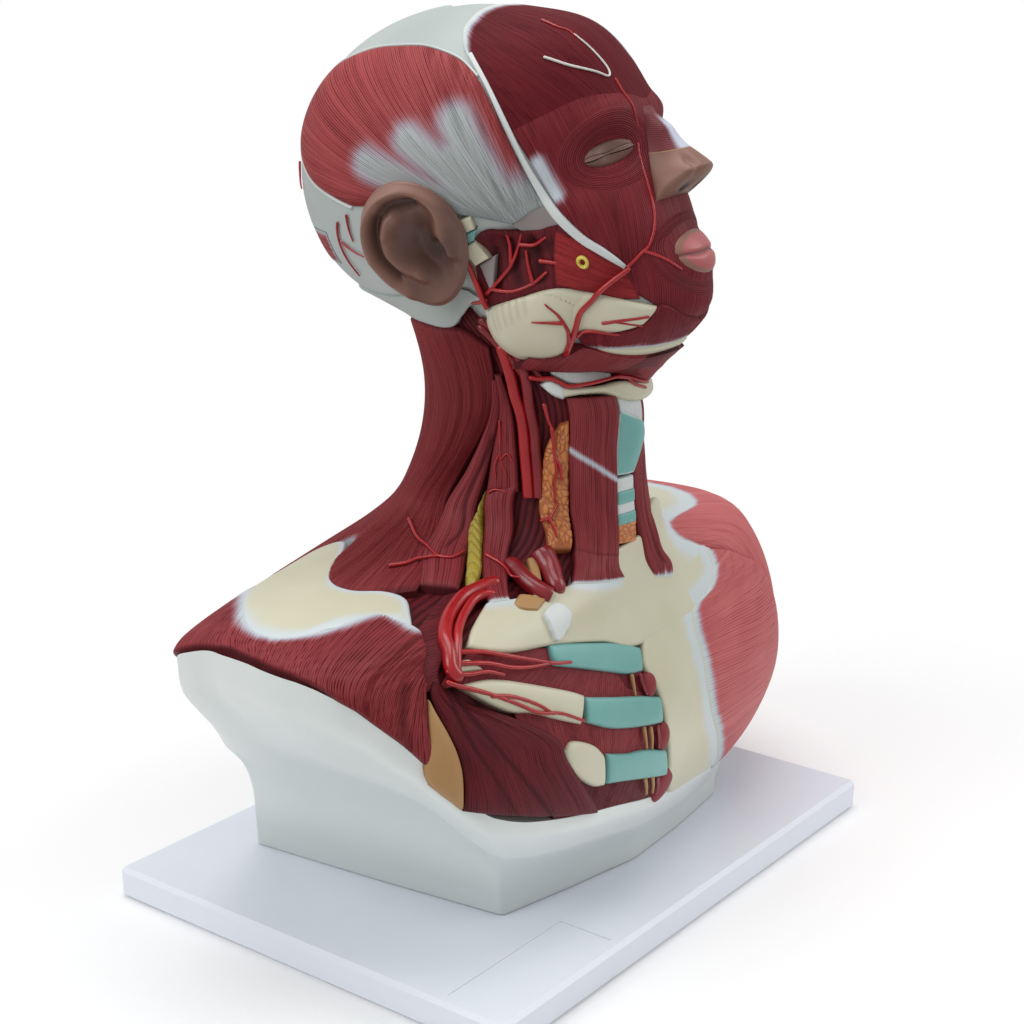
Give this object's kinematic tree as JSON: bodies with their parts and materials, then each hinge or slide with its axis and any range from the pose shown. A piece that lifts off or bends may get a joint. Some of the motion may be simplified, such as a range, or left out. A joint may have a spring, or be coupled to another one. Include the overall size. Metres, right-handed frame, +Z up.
{
  "type": "anatomical neck muscle model",
  "caption": "Life-size anatomical model of a head, neck and shoulders on a flat board, with the muscles, vessels, bones and cartilages of the right side laid open.",
  "frame": {"origin": "middle of the base board's underside, on the surface that the model stands on", "axes": "+Z up; the face and chest look towards -Y; the model's own right side, which is laid open, is -X"},
  "size_m": [0.4898, 0.3, 0.5376],
  "materials": {
    "board": "satin lavender white",
    "cast_body": "satin pale grey green",
    "muscle": "painted muscle red, combed",
    "pale_muscle": "painted muscle red, combed",
    "dark_muscle": "painted deep red, combed",
    "bright_muscle": "painted red",
    "bone": "satin cream",
    "cartilage": "satin blue green",
    "fascia": "satin white",
    "galea": "satin pale grey green",
    "skin": "satin brown",
    "artery": "glossy bright red",
    "vein": "glossy dark red",
    "nerve": "glossy yellow",
    "gland": "satin orange brown",
    "tendon": "satin tan",
    "steel": "plated"
  },
  "bodies": {
    "root": {"base_board": "board", "base_screw_right": "steel", "base_screw_left": "steel", "plinth_body": "cast_body", "cranium": "galea", "neck_and_chest_bed": "dark_muscle", "right_temporal_muscle": "muscle", "left_temporal_muscle": "muscle", "right_cut_fascia_band": "fascia", "forehead_muscle": "dark_muscle", "face_muscles": "muscle", "parotid_duct_opening": "nerve", "right_buccinator": "bright_muscle", "right_pterygoid_muscles": "dark_muscle", "mandible": "bone", "jaw_joint_disc": "cartilage", "jaw_condyle": "bone", "right_ear": "skin", "left_ear": "skin", "right_eyelids": "skin", "left_eyelids": "skin", "right_eye_ring_muscle": "muscle", "left_eye_ring_muscle": "muscle", "nose": "skin", "lips": "skin", "temporal_artery": "artery", "facial_artery": "artery", "mouth_floor_muscles": "muscle", "right_rib_muscles": "dark_muscle", "sternum": "bone", "first_rib": "bone", "second_rib": "bone", "third_rib": "bone", "first_rib_cartilage": "cartilage", "second_rib_cartilage": "cartilage", "third_rib_cartilage": "cartilage", "right_collar_bone": "bone", "left_collar_bone": "bone", "right_small_pectoral": "dark_muscle", "right_cut_tendon": "tendon", "right_deltoid": "muscle", "left_great_pectoral": "pale_muscle", "left_deltoid": "pale_muscle", "hyoid_bone": "bone", "thyroid_cartilage": "cartilage", "thyrohyoid_membrane": "fascia", "windpipe": "cartilage", "right_strap_muscle": "dark_muscle", "thyroid_gland": "gland", "left_sternomastoid": "muscle", "right_front_scalene": "dark_muscle", "right_middle_scalene": "pale_muscle", "right_shoulder_lifter": "muscle", "right_trapezius": "muscle", "left_trapezius": "muscle", "carotid_artery": "artery", "jugular_vein": "vein", "nerve_plexus": "nerve", "armpit_artery": "artery", "cut_neck_veins": "vein"}
  },
  "joints": []
}
